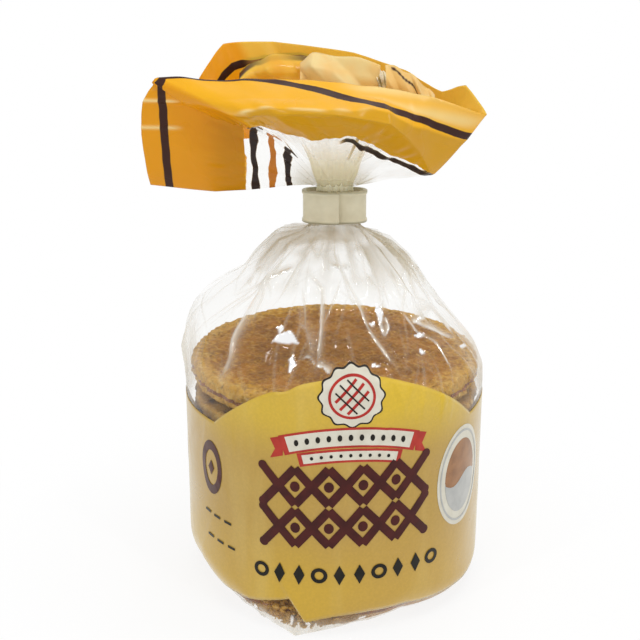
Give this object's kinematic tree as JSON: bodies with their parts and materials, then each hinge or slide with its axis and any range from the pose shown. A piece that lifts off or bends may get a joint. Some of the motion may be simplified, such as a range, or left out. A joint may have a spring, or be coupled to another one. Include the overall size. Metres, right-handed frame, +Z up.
{
  "type": "stroopwafel pack",
  "caption": "Tied clear film bag round an upright stack of stroopwafels, with a printed band, a clip round the gathered neck and a fanned, folded film end above it.",
  "frame": {"origin": "centre of the flat base that the pack stands on, on the axis of the stack", "axes": "+Z up along the stack, -Y towards the front of the printed band, +X to the right seen from the front"},
  "size_m": [0.0929, 0.0848, 0.1502],
  "materials": {
    "film": "thin clear film, glossy, with fine creases",
    "print": "film printed golden yellow with brown stripes, glossy",
    "clip": "cream plastic band, satin",
    "waffle": "baked waffle, dry and finely pitted, golden brown with a paler rim"
  },
  "bodies": {
    "root": {"bag": "film", "clip": "clip"}
  },
  "joints": []
}
